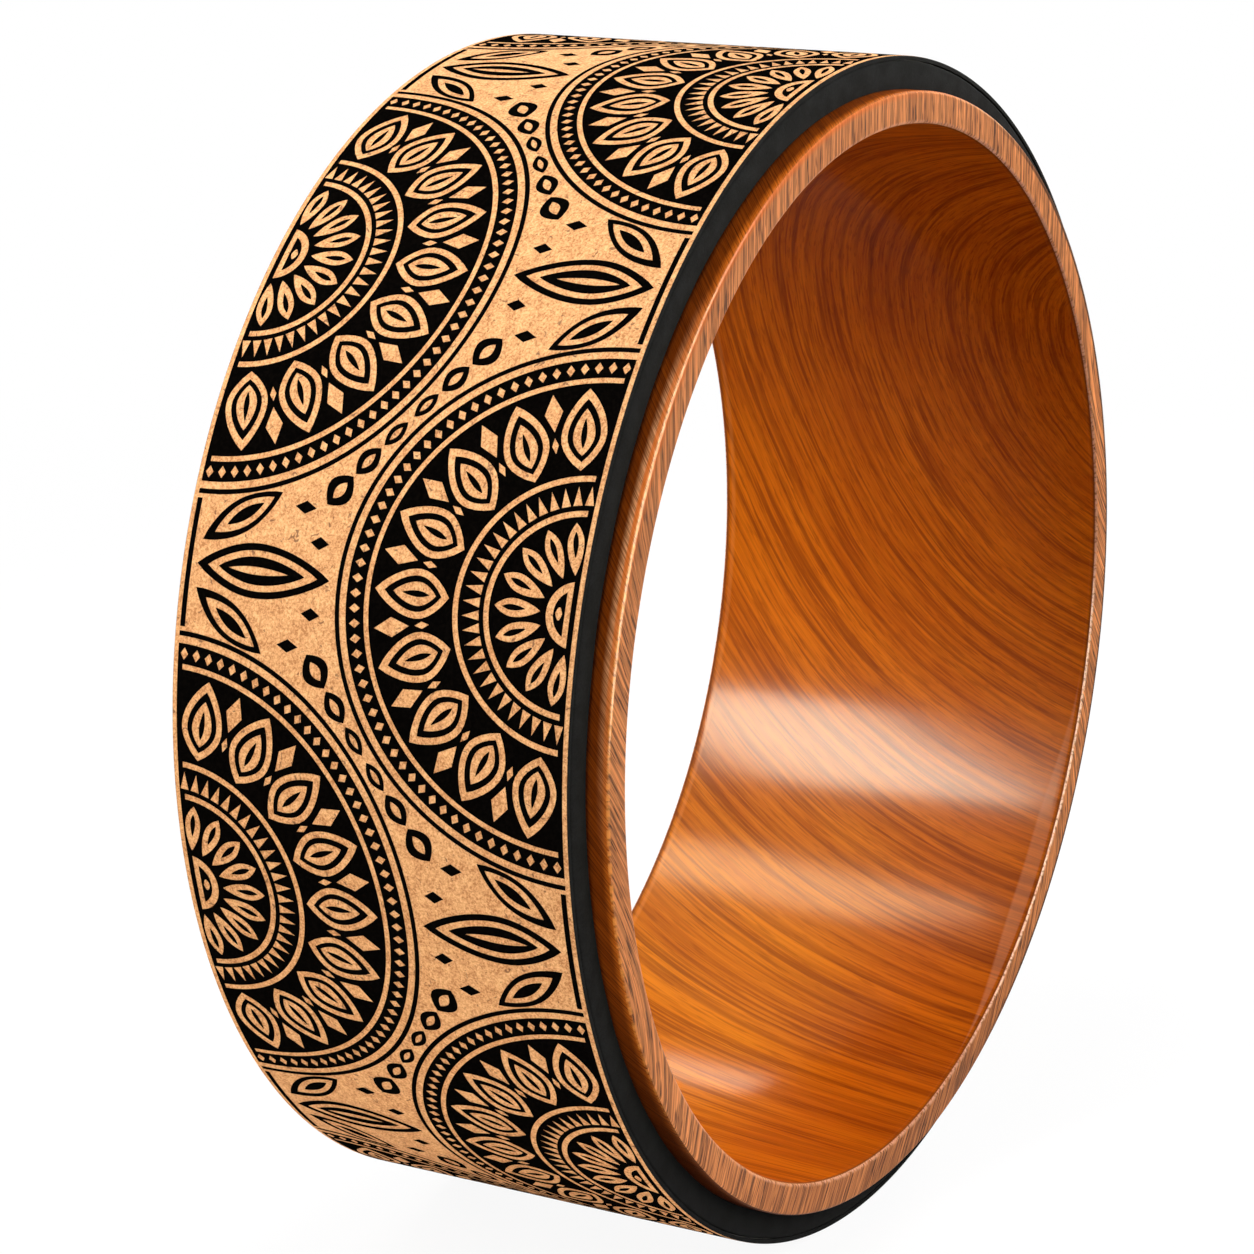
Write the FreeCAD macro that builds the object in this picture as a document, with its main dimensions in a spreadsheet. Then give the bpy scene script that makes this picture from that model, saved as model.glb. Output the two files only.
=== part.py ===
# Yoga wheel: a bent-laminated wooden ring with a foam pad and a cork cover wrapped round it.
# Millimetres, +Z up. The wheel stands on its tread, its axle line is Y and its centre is the origin.
# The front rim faces -Y.

import FreeCAD
import Part
import os
import Sketcher

DOCUMENT = FreeCAD.newDocument("yoga_wheel")

# Driving dimensions: name, value, what it measures.
SIZES = [
    ("outer_diameter", 330.0, "over the cork"),
    ("overall_width", 130.0, "along the axle line, over both rim rings"),
    ("pad_width", 117.5, "foam pad and cork cover, along the axle line"),
    ("cork_thickness", 1.2, "cork cover"),
    ("cork_tape_thickness", 0.2, "double-sided tape under the cork"),
    ("foam_thickness", 7.5, "foam pad"),
    ("pad_tape_thickness", 0.2, "double-sided tape under the foam"),
    ("tape_inset", 1.5, "how far each tape stays back from the pad's sides"),
    ("veneer_thickness", 0.7, "face veneers, inside and outside"),
    ("ply_thickness", 1.4, "each bent ply between the veneers"),
    ("ply_count", 5, "bent plies between the veneers"),
    ("rim_thickness", 3.0, "rim rings, along the axle line"),
    ("rim_outer_bevel", 0.8, "rim rings, eased outer corner"),
    ("rim_inner_bevel", 0.6, "rim rings, eased corner at the bore"),
    ("tongue_depth", 4.0, "rim ring's tongue, into the groove over the middle ply"),
    ("glue_line", 0.1, "glue between two layers, and beyond the end of the tongue"),
    ("seam_gap", 0.3, "butt seam of every wrapped strip"),
]

# Where the butt seams lie, in degrees about the axle line from +X.
COVER_SEAM_ANGLE = 0.0
INNER_SEAM_ANGLE = 180.0
FULL_TURN = 360.0
AXLE_LINE = FreeCAD.Vector(0, 1, 0)
UP = FreeCAD.Vector(0, 0, 1)


def make_sheet():
    """The driving dimensions, one row each: name, value with its alias, meaning."""
    sheet = DOCUMENT.addObject("Spreadsheet::Sheet", "sizes")
    for row, (name, value, meaning) in enumerate(SIZES, start=1):
        sheet.set(f"A{row}", name)
        sheet.set(f"B{row}", str(value))
        sheet.setAlias(f"B{row}", name)
        sheet.set(f"C{row}", meaning)
    DOCUMENT.recompute()
    return sheet


SHEET = make_sheet()
PLY_COUNT = int(SHEET.ply_count)

# Radii as expressions on the sheet, from the tread inwards.
TREAD = "(sizes.outer_diameter / 2)"
CORK_SEAT = f"({TREAD} - sizes.cork_thickness)"
FOAM_TOP = f"({CORK_SEAT} - sizes.cork_tape_thickness)"
FOAM_SEAT = f"({FOAM_TOP} - sizes.foam_thickness)"
CORE_TOP = f"({FOAM_SEAT} - sizes.pad_tape_thickness)"
VENEER_SEAT = f"({CORE_TOP} - sizes.veneer_thickness)"
PLY_STEP = "(sizes.ply_thickness + sizes.glue_line)"
PLIES_SEAT = f"({VENEER_SEAT} - sizes.ply_count * {PLY_STEP})"
VENEER_TOP = f"({PLIES_SEAT} - sizes.glue_line)"
BORE = f"({VENEER_TOP} - sizes.veneer_thickness)"

# Half widths along the axle line.
PAD_HALF = "(sizes.pad_width / 2)"
TAPE_HALF = f"({PAD_HALF} - sizes.tape_inset)"
RIM_HALF = "(sizes.overall_width / 2)"
BARREL_HALF = f"({RIM_HALF} - sizes.rim_thickness)"
GROOVE_HALF = f"({BARREL_HALF} - sizes.tongue_depth - sizes.glue_line)"


def value(expression):
    """An expression's number in millimetres."""
    return float(SHEET.evalExpression(expression))


def bind(sketch, constraint, name, expression):
    """Adds a dimension to a sketch and ties it to the sheet."""
    index = sketch.addConstraint(constraint)
    sketch.renameConstraint(index, name)
    sketch.setExpression(f"Constraints.{name}", expression)


def ring_section(body, name, inner, outer, low, high, bevels=None):
    """A ring's half section: X is the radius, Y the place along the axle line.

    bevels gives the leg of each eased corner as an expression. The corners are numbered from the
    inner low one, anticlockwise.
    """
    bevels = bevels or {}
    sketch = body.newObject("Sketcher::SketchObject", name)
    plane = next(f for f in body.Origin.OriginFeatures if f.Role == "XY_Plane")
    sketch.AttachmentSupport = (plane, "")
    sketch.MapMode = "FlatFace"

    left, right = value(inner), value(outer)
    bottom, top = value(low), value(high)
    corners = [(left, bottom), (right, bottom), (right, top), (left, top)]
    along = [(1, 0), (0, 1), (-1, 0), (0, -1)]
    legs = [value(bevels[k]) if k in bevels else 0.0 for k in range(4)]

    def near_corner(corner, side, sign):
        """The end of a side at a corner, drawn back along that side by the corner's bevel."""
        x, y = corners[corner]
        step = sign * legs[corner]
        return FreeCAD.Vector(x + along[side][0] * step, y + along[side][1] * step, 0)

    sides = []
    for k in range(4):
        line = Part.LineSegment(near_corner(k, k, 1), near_corner((k + 1) % 4, k, -1))
        sides.append(sketch.addGeometry(line))
        direction = "Vertical" if along[k][0] == 0 else "Horizontal"
        sketch.addConstraint(Sketcher.Constraint(direction, sides[k]))
    for k in range(4):
        before, after = sides[k - 1], sides[k]
        if k not in bevels:
            sketch.addConstraint(Sketcher.Constraint("Coincident", before, 2, after, 1))
            continue
        ends = near_corner(k, k - 1, -1), near_corner(k, k, 1)
        bevel = sketch.addGeometry(Part.LineSegment(*ends))
        sketch.addConstraint(Sketcher.Constraint("Coincident", before, 2, bevel, 1))
        sketch.addConstraint(Sketcher.Constraint("Coincident", bevel, 2, after, 1))
        run = ends[1] - ends[0]
        for axis, length in (("X", run.x), ("Y", run.y)):
            leg = Sketcher.Constraint(f"Distance{axis}", bevel, 1, bevel, 2, length)
            sign = "-" if length < 0 else ""
            bind(sketch, leg, f"bevel_{k}_{axis}", f"{sign}{bevels[k]}")
    bottom_side, right_side, top_side, left_side = sides
    bind(sketch, Sketcher.Constraint("DistanceX", -1, 1, left_side, 1, left), "inner", inner)
    bind(sketch, Sketcher.Constraint("DistanceX", -1, 1, right_side, 1, right), "outer", outer)
    bind(sketch, Sketcher.Constraint("DistanceY", -1, 1, bottom_side, 1, bottom), "low", low)
    bind(sketch, Sketcher.Constraint("DistanceY", -1, 1, top_side, 1, top), "high", high)
    return sketch


def turn(body, name, sketch, angle=None):
    """Revolves a section about the axle line, all the way round unless an angle is given."""
    feature = body.newObject("PartDesign::Revolution", name)
    feature.Profile = sketch
    feature.ReferenceAxis = (sketch, ["V_Axis"])
    feature.Angle = FULL_TURN
    if angle:
        feature.setExpression("Angle", angle)
    return feature


def wrapped_strip(label, inner, outer, half_width, seam_angle):
    """A strip bent into a ring, whose two ends meet in a butt seam."""
    body = DOCUMENT.addObject("PartDesign::Body", label)
    section = ring_section(body, f"{label}_section", inner, outer, f"-{half_width}", half_width)
    angle = f"{FULL_TURN} - sizes.seam_gap / {outer} * 180 / pi"
    turn(body, f"{label}_wrap", section, angle)
    body.Placement = FreeCAD.Placement(FreeCAD.Vector(), FreeCAD.Rotation(AXLE_LINE, seam_angle))
    return body


def ply_radii(number):
    """The inner and outer radius of a ply, counted from 1 at the bore."""
    inner = f"({PLIES_SEAT} + {number - 1} * {PLY_STEP})"
    return inner, f"({inner} + sizes.ply_thickness)"


MIDDLE_PLY = (PLY_COUNT + 1) // 2


def make_core():
    """Face veneers and bent plies. Seams are staggered, and the middle ply is short, for the grooves."""
    pieces = [wrapped_strip("inner_veneer", BORE, VENEER_TOP, BARREL_HALF, INNER_SEAM_ANGLE)]
    for number in range(1, PLY_COUNT + 1):
        half_width = GROOVE_HALF if number == MIDDLE_PLY else BARREL_HALF
        seam_angle = INNER_SEAM_ANGLE + FULL_TURN * number / (PLY_COUNT + 1)
        pieces.append(wrapped_strip(f"core_ply_{number}", *ply_radii(number), half_width, seam_angle))
    pieces.append(wrapped_strip("outer_veneer", VENEER_SEAT, CORE_TOP, BARREL_HALF, COVER_SEAM_ANGLE))
    return pieces


def make_rim_ring(label, rotation):
    """A flat wooden ring over the edges of the plies, held by a tongue in the groove."""
    body = DOCUMENT.addObject("PartDesign::Body", label)
    bevels = {0: "sizes.rim_inner_bevel", 1: "sizes.rim_outer_bevel"}
    face = ring_section(body, f"{label}_face", BORE, CORE_TOP, f"-{RIM_HALF}", f"-{BARREL_HALF}", bevels)
    turn(body, f"{label}_ring", face)
    end = f"-({BARREL_HALF} - sizes.tongue_depth)"
    tongue = ring_section(body, f"{label}_tongue", *ply_radii(MIDDLE_PLY), f"-{BARREL_HALF}", end)
    turn(body, f"{label}_key", tongue)
    body.Placement = FreeCAD.Placement(FreeCAD.Vector(), rotation)
    return body


def make_cover():
    """The foam pad and the cork cover, each on its own double-sided tape."""
    return [
        wrapped_strip("pad_tape", CORE_TOP, FOAM_SEAT, TAPE_HALF, COVER_SEAM_ANGLE),
        wrapped_strip("foam_pad", FOAM_SEAT, FOAM_TOP, PAD_HALF, COVER_SEAM_ANGLE),
        wrapped_strip("cork_tape", FOAM_TOP, CORK_SEAT, TAPE_HALF, COVER_SEAM_ANGLE),
        wrapped_strip("cork_cover", CORK_SEAT, TREAD, PAD_HALF, COVER_SEAM_ANGLE),
    ]


def check(pieces):
    """Stops before anything is written if a feature failed or a piece isn't one sound solid."""
    for item in DOCUMENT.Objects:
        faults = {"Invalid", "Error"} & set(item.State)
        if faults:
            raise RuntimeError(f"{item.Label}: {sorted(faults)}")
    for piece in pieces:
        shape = piece.Shape
        if shape.isNull() or not shape.isValid() or len(shape.Solids) != 1:
            raise RuntimeError(f"{piece.Label} isn't one valid solid")


def write(pieces):
    """One STEP file for each piece, named after it."""
    os.makedirs("parts", exist_ok=True)
    for piece in pieces:
        piece.Shape.exportStep(f"parts/{piece.Label}.step")
        print(f"{piece.Label}: {piece.Shape.Volume:.0f} mm3")


PIECES = make_core()
PIECES.append(make_rim_ring("front_rim_ring", FreeCAD.Rotation()))
PIECES.append(make_rim_ring("rear_rim_ring", FreeCAD.Rotation(UP, FULL_TURN / 2)))
PIECES += make_cover()
DOCUMENT.recompute()
check(PIECES)
write(PIECES)
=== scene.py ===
import math

import bmesh
import bpy
from mathutils import Matrix, Vector, noise


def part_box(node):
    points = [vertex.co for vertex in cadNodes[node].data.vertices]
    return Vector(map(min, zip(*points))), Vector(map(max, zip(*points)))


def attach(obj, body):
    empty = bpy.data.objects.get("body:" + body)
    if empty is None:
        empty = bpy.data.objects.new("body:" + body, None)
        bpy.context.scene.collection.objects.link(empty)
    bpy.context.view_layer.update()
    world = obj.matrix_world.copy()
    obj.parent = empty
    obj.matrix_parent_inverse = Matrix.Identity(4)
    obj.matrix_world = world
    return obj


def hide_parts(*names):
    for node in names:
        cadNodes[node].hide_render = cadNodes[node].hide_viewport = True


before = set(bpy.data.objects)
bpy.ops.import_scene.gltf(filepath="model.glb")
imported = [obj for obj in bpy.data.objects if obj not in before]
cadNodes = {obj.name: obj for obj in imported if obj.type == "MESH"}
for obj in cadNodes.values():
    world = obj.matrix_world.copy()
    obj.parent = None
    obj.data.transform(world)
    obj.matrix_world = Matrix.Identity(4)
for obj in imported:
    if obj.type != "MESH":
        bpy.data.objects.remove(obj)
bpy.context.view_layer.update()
print("stage: CAD frame loaded,", len(cadNodes), "nodes")

mm = 0.001
fullTurn = 2 * math.pi


# sizes, from the frame

def radii(node):  # mm, inner and outer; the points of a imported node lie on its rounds
    reaches = [math.hypot(point.co.x, point.co.z) for point in cadNodes[node].data.vertices]
    return round(min(reaches) / mm, 2), round(max(reaches) / mm, 2)


def alongAxle(node):  # mm, where a node begins and ends along the axle line
    low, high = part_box(node)
    return round(low.y / mm, 2), round(high.y / mm, 2)


wheel = {  # mm
    "treadRadius": radii("cork_cover")[1],
    "corkSeat": radii("cork_cover")[0],
    "foamTop": radii("foam_pad")[1],
    "foamSeat": radii("foam_pad")[0],
    "lipRadius": radii("outer_veneer")[1],
    "boreRadius": radii("inner_veneer")[0],
    "padHalf": alongAxle("foam_pad")[1],
    "barrelHalf": alongAxle("inner_veneer")[1],
    "rimHalf": alongAxle("rear_rim_ring")[1],
    "tongueInner": radii("core_ply_3")[0],  # the rims' tongues line up with this ply
    "tongueOuter": radii("core_ply_3")[1],
    "tongueEnd": alongAxle("rear_rim_ring")[0],
    "seamGap": 0.3,  # as in the part's source
}


# node helpers

def feed(tree, socket, value):
    if isinstance(value, bpy.types.NodeSocket):
        tree.links.new(value, socket)
    else:
        socket.default_value = value


def put(tree, kind, inputs=None, **settings):
    node = tree.nodes.new(kind)
    for name, value in settings.items():
        setattr(node, name, value)
    for name, value in (inputs or {}).items():
        feed(tree, node.inputs[name], value)
    return node


def calc(tree, operation, first, second=0.0, third=0.0):
    return put(tree, "ShaderNodeMath", {0: first, 1: second, 2: third}, operation=operation).outputs[0]


def times(tree, first, second):
    return calc(tree, "MULTIPLY", first, second)


def hypotenuse(tree, first, second):
    squares = calc(tree, "ADD", calc(tree, "POWER", first, 2.0), calc(tree, "POWER", second, 2.0))
    return calc(tree, "SQRT", squares)


def spread(tree, value, low, high, newLow=0.0, newHigh=1.0):  # eased from one range to another
    fields = {"Value": value, "From Min": low, "From Max": high, "To Min": newLow, "To Max": newHigh}
    return put(tree, "ShaderNodeMapRange", fields, interpolation_type="SMOOTHSTEP").outputs[0]


def between(tree, value, start, full, fall, end):  # 0 outside start and end, 1 from full to fall
    return times(tree, spread(tree, value, start, full), spread(tree, value, fall, end, 1.0, 0.0))


def vector(tree, x, y, z=0.0):
    return put(tree, "ShaderNodeCombineXYZ", {"X": x, "Y": y, "Z": z}).outputs[0]


def cloud(tree, where, scale, detail, rough=0.55, distort=0.0):
    fields = {"Vector": where, "Scale": scale, "Detail": detail, "Roughness": rough, "Distortion": distort}
    return put(tree, "ShaderNodeTexNoise", fields).outputs["Fac"]


def blendColour(tree, share, first, second, mode="MIX"):
    fields = {0: share, 6: first, 7: second}  # the sockets of the node's colour mode
    return put(tree, "ShaderNodeMix", fields, data_type="RGBA", blend_type=mode).outputs[2]


def paint(tree, share, colour, tone):  # one plain tone over a colour
    return blendColour(tree, share, colour, (*tone, 1.0))


def tint(tree, share, colour, tone):
    return blendColour(tree, share, colour, (*tone, 1.0), "MULTIPLY")


def ramp(tree, value, stops):
    node = put(tree, "ShaderNodeValToRGB", {"Fac": value})
    points = node.color_ramp.elements
    while len(points) < len(stops):
        points.new(0.5)
    for point, (position, colour) in zip(points, stops):
        point.position = position
        point.color = (*colour, 1.0)
    return node.outputs["Color"]


def newGroup(name, inputs, outputs):
    group = bpy.data.node_groups.new(name, "ShaderNodeTree")
    for label, start in inputs.items():
        socket = group.interface.new_socket(label, in_out="INPUT", socket_type="NodeSocketFloat")
        socket.default_value = start
    for label in outputs:
        group.interface.new_socket(label, in_out="OUTPUT", socket_type="NodeSocketFloat")
    return group, put(group, "NodeGroupInput").outputs, put(group, "NodeGroupOutput").inputs


def useGroup(tree, group, **fields):
    return put(tree, "ShaderNodeGroup", fields, node_tree=group).outputs


def newFinish(name, sockets):
    finish = bpy.data.materials.new(name)
    finish.use_nodes = True
    tree = finish.node_tree
    tree.nodes.clear()
    shader = put(tree, "ShaderNodeBsdfPrincipled", sockets)
    put(tree, "ShaderNodeOutputMaterial", {"Surface": shader.outputs[0]})
    return finish, tree, shader


def dress(tree, shader, colour, height, relief):  # relief: depth in mm, strength
    depth, strength = relief
    bump = put(tree, "ShaderNodeBump", {"Height": height, "Distance": depth * mm, "Strength": strength})
    feed(tree, shader.inputs["Base Color"], colour)
    feed(tree, shader.inputs["Normal"], bump.outputs["Normal"])


def wheelPlaces(tree):  # object coordinates in mm, with the angle round the axle line from +X
    place = put(tree, "ShaderNodeTexCoord").outputs["Object"]
    split = put(tree, "ShaderNodeSeparateXYZ", {0: place}).outputs
    x, y, z = (times(tree, axis, 1.0 / mm) for axis in split)
    return x, y, z, calc(tree, "ARCTAN2", z, x)


def angleUp(tree, x, z):  # radians up from -X
    return calc(tree, "ARCTAN2", z, times(tree, x, -1.0))


# shared effects

grainShape = {
    # noise drawn out along the fibres: stretch along them, layer of the noise, detail, roughness
    "wander": (0.009, 3.1, 2.0, 0.55),
    "bands": (0.007, 7.7, 2.0, 0.55),
    "jitter": (0.004, 1.3, 2.0, 0.5),
    "weight": (0.012, 9.4, 3.0, 0.55),
    "thin": (0.014, 4.6, 2.0, 0.55),
    "fibres": (0.035, 5.9, 3.0, 0.65),
    "pores": (0.11, 2.2, 2.0, 0.55),
    # its speed across them
    "wanderSpeed": 0.02,  # per mm
    "jitterSpeed": 0.5,  # share of the years'
    "thinSpeed": 3.4,
    # what part of it shows
    "toneEdge": (0.3, 0.7),
    "ringEdge": (0.1, 1.0),
    "weightEdge": (0.35, 0.65, 0.1, 1.0),
    "thinEdge": (0.5, 0.66, 0.0, 0.8),
    "poreEdge": (0.52, 0.66),
    "unevenYears": 5.0,  # radians
    "poreDepth": 0.5,  # shares of the relief
    "lineDepth": 0.3,
}


def makeGrainGroup():
    # wood along its fibres: growth bands, soft and thin late-wood lines, fibres and open pores
    group, given, wanted = newGroup(
        "woodGrain",
        {
            "Across": 0.0, "Along": 0.0, "Drift": 5.0, "Band": 0.1,
            "Line": 0.25, "Rings": 1.0, "Fibre": 1.5, "Pore": 2.0,
        },
        ["Tone", "Lines", "Fibres", "Pores", "Relief"],
    )
    shape, line = grainShape, given["Line"]

    def run(name, place, speed):
        stretch, layer, detail, rough = shape[name]
        where = vector(group, times(group, place, speed), times(group, given["Along"], stretch), layer)
        return cloud(group, where, 1.0, detail, rough)

    wander = calc(group, "SUBTRACT", run("wander", given["Across"], shape["wanderSpeed"]), 0.5)
    place = calc(group, "MULTIPLY_ADD", wander, given["Drift"], given["Across"])
    jitter = run("jitter", place, times(group, line, shape["jitterSpeed"]))
    turns = times(group, times(group, place, line), fullTurn)
    wave = calc(group, "SINE", calc(group, "MULTIPLY_ADD", jitter, shape["unevenYears"], turns))
    weight = spread(group, run("weight", place, line), *shape["weightEdge"])
    rings = times(group, spread(group, wave, *shape["ringEdge"]), weight)
    thin = spread(group, run("thin", place, times(group, line, shape["thinSpeed"])), *shape["thinEdge"])
    lines = calc(group, "MAXIMUM", times(group, rings, given["Rings"]), thin)
    fibres = run("fibres", place, given["Fibre"])
    pores = spread(group, run("pores", place, given["Pore"]), *shape["poreEdge"])
    sunk = calc(group, "MULTIPLY_ADD", pores, -shape["poreDepth"], fibres)
    feed(group, wanted["Tone"], spread(group, run("bands", place, given["Band"]), *shape["toneEdge"]))
    feed(group, wanted["Lines"], lines)
    feed(group, wanted["Fibres"], spread(group, fibres, *shape["toneEdge"]))
    feed(group, wanted["Pores"], pores)
    feed(group, wanted["Relief"], calc(group, "MULTIPLY_ADD", lines, -shape["lineDepth"], sunk))
    return group


edgeShape = {
    "width": (0.15, 0.85),  # mm from the corner
    "streakCut": 0.9,  # share of the painted glint and of the coat that a streak takes off
    "coat": 0.85,
}


def makeEdgeGroup():
    # a glossy corner with a painted glint: Reach is the distance from the corner in mm, Streaks break the
    # shine
    inputs = {"Reach": 1.0, "Streaks": 0.0, "Plain": 0.1}
    group, given, wanted = newGroup("glossyEdgeGlint", inputs, ["Edge", "Coat"])
    clear = calc(group, "MULTIPLY_ADD", given["Streaks"], -edgeShape["streakCut"], 1.0)
    edge = times(group, spread(group, given["Reach"], *edgeShape["width"], 1.0, 0.0), clear)
    feed(group, wanted["Edge"], edge)
    feed(group, wanted["Coat"], calc(group, "ADD", times(group, edge, edgeShape["coat"]), given["Plain"]))
    return group


dashShape = {
    "lumps": 0.34,  # per mm along the corner
    "detail": 2.0,
    "lumpEdge": (0.42, 0.58),
    "strength": 0.7,
    "width": (0.55, 0.95),  # mm from the corner
    "stretch": (-0.85, -0.1, 0.25, 0.7),  # radians up from -X
}


def makeDashGroup():
    # a painted highlight in dashes along a corner: Reach is the distance from the corner in mm, Up the
    # angle up from -X
    group, given, wanted = newGroup("cornerGlintDashes", {"Reach": 1.0, "Arc": 0.0, "Up": 0.0}, ["Dashes"])
    lumps = cloud(group, vector(group, given["Arc"], 0.0), dashShape["lumps"], dashShape["detail"])
    beads = spread(group, lumps, *dashShape["lumpEdge"], 0.0, dashShape["strength"])
    mask = times(group, beads, spread(group, given["Reach"], *dashShape["width"], 1.0, 0.0))
    feed(group, wanted["Dashes"], times(group, mask, between(group, given["Up"], *dashShape["stretch"])))
    return group


speckShape = {
    "fine": (3.0, 0.6, 0.6),  # detail, roughness and distortion of the noise
    "patches": (2.0, 0.5, 0.0),
    "pits": (1.0, 0.4, 1.2),
    "fineEdge": (0.28, 0.72),
    "patchEdge": (0.3, 0.7),
    "pitEdge": (0.66, 0.76),
    "pitDepth": 0.7,  # share of the relief
}


def makeSpeckGroup():
    # pressed granules or cells: a fine mottle, a coarse mottle and small pits
    inputs = {"Fine": 900.0, "Coarse": 260.0, "Pit": 420.0}
    group, given, wanted = newGroup("speckle", inputs, ["Mottle", "Patches", "Pits", "Relief"])
    place = put(group, "ShaderNodeTexCoord").outputs["Object"]
    fine = cloud(group, place, given["Fine"], *speckShape["fine"])
    patches = cloud(group, place, given["Coarse"], *speckShape["patches"])
    pits = spread(group, cloud(group, place, given["Pit"], *speckShape["pits"]), *speckShape["pitEdge"])
    feed(group, wanted["Mottle"], spread(group, fine, *speckShape["fineEdge"]))
    feed(group, wanted["Patches"], spread(group, patches, *speckShape["patchEdge"]))
    feed(group, wanted["Pits"], pits)
    feed(group, wanted["Relief"], calc(group, "MULTIPLY_ADD", pits, -speckShape["pitDepth"], fine))
    return group


grainGroup = makeGrainGroup()
edgeGroup = makeEdgeGroup()
dashGroup = makeDashGroup()
speckGroup = makeSpeckGroup()
print("stage: shared effects ready")


# finishes

def grainColour(tree, grain, look):
    bands = times(tree, grain["Tone"], 1.0 - look["fibre"])
    colour = ramp(tree, calc(tree, "MULTIPLY_ADD", grain["Fibres"], look["fibre"], bands), look["stops"])
    lined = paint(tree, times(tree, grain["Lines"], look["lines"]), colour, look["dark"])
    return paint(tree, times(tree, grain["Pores"], look["pores"]), lined, look["dark"])


boreLook = {
    "shader": {
        "Roughness": 0.5, "Specular IOR Level": 0.012,
        "Coat Weight": 0.08, "Coat Roughness": 0.15, "Coat IOR": 1.45,
    },
    "heartAngle": 0.46,  # where the figure's middle lies, radians round the bore
    "heartAcross": -110.0,  # mm, beyond the front rim
    "squash": 1.18,
    "widening": 380.0,  # mm from the heart at which the years are twice as wide
    "swing": 160.0,  # mm along the fibres for each radian round the heart
    "grain": {"Drift": 4.0, "Band": 0.12, "Line": 0.25, "Rings": 0.6, "Fibre": 1.5, "Pore": 2.0},
    "stops": [(0.1, (0.51, 0.103, 0.0017)), (0.9, (0.74, 0.182, 0.003))],
    "dark": (0.19, 0.026, 0.0006),  # lines and pores
    "fibre": 0.55,  # share of the fibres in the shade, the bands have the rest
    "lines": 0.75,
    "pores": 0.35,
    "litGold": (0.98, 1.15, 1.5),  # painted light: the veneer more golden low down, where the light falls
    "litGoldFrom": (-20.0, -110.0),  # mm above the axle line
    "litGoldAcross": (-45.0, 5.0),  # mm along it
    "crownShade": (0.75, 0.7, 0.62),  # painted shade, deeper at the top
    "crownShadeFrom": (0.0, 120.0),
    "sill": (0.8, 0.68, 0.5),  # and deeper low down beside the front rim
    "sillFrom": (-70.0, -130.0),
    "sillAcross": (15.0, -40.0),
    "run": (0.8, 0.36, 0.18),  # painted reflection, a pale band along the front edge
    "reflectShare": 0.26,
    "reflectStretch": (-1.2, -0.75, -0.62, -0.24),  # radians round the bore
    "reflectWidth": 5.0,  # mm
    "reflectStart": (62.7, 63.8),  # mm across
    "reflectEnd": (62.8, 63.4),
    "line": (0.8, 0.27, 0.05),  # painted highlight, a warm line beside the rear edge
    "highlightLineShare": 0.3,
    "highlightLineAcross": (60.8, 61.8, 62.3, 62.9),
    "end": (0.19, 0.045, 0.006),  # painted shade, darker at each end of the bore
    "endShadeShare": 0.85,
    "rearShade": (62.9, 63.9),
    "frontShade": (63.4, 64.2),
    "relief": (0.03, 0.4),
}


def makeBoreWood():
    look = boreLook
    finish, tree, shader = newFinish("boreLacquer", look["shader"])
    _, y, z, angle = wheelPlaces(tree)
    fromHeart = calc(tree, "SUBTRACT", angle, look["heartAngle"])
    arc = times(tree, fromHeart, wheel["boreRadius"] * look["squash"])
    off = calc(tree, "SUBTRACT", y, look["heartAcross"])
    wider = calc(tree, "MULTIPLY_ADD", hypotenuse(tree, arc, off), 1.0 / look["widening"], 1.0)
    years = times(tree, calc(tree, "LOGARITHM", wider, math.e), look["widening"])
    along = times(tree, calc(tree, "ARCTAN2", off, arc), look["swing"])
    grain = useGroup(tree, grainGroup, Across=years, Along=along, **look["grain"])
    colour = grainColour(tree, grain, look)
    # painted light, more golden low down
    litGold = times(tree, spread(tree, z, *look["litGoldFrom"]), spread(tree, y, *look["litGoldAcross"]))
    colour = tint(tree, litGold, colour, look["litGold"])
    # painted shade at the top
    colour = tint(tree, spread(tree, z, *look["crownShadeFrom"]), colour, look["crownShade"])
    sill = times(tree, spread(tree, z, *look["sillFrom"]), spread(tree, y, *look["sillAcross"]))
    colour = tint(tree, sill, colour, look["sill"])
    # painted reflection, a pale band along the front edge
    front = times(tree, y, -1.0)
    width = times(tree, between(tree, angle, *look["reflectStretch"]), look["reflectWidth"])
    start = spread(tree, calc(tree, "ADD", front, width), *look["reflectStart"])
    run = times(tree, start, spread(tree, front, *look["reflectEnd"], look["reflectShare"], 0.0))
    colour = paint(tree, run, colour, look["run"])
    # painted highlight beside the rear edge
    line = times(tree, between(tree, y, *look["highlightLineAcross"]), look["highlightLineShare"])
    colour = paint(tree, line, colour, look["line"])
    # painted shade at each end
    ends = calc(tree, "MAXIMUM", spread(tree, y, *look["rearShade"]), spread(tree, front, *look["frontShade"]))
    colour = paint(tree, times(tree, ends, look["endShadeShare"]), colour, look["end"])
    dress(tree, shader, colour, grain["Relief"], look["relief"])
    return finish


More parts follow.
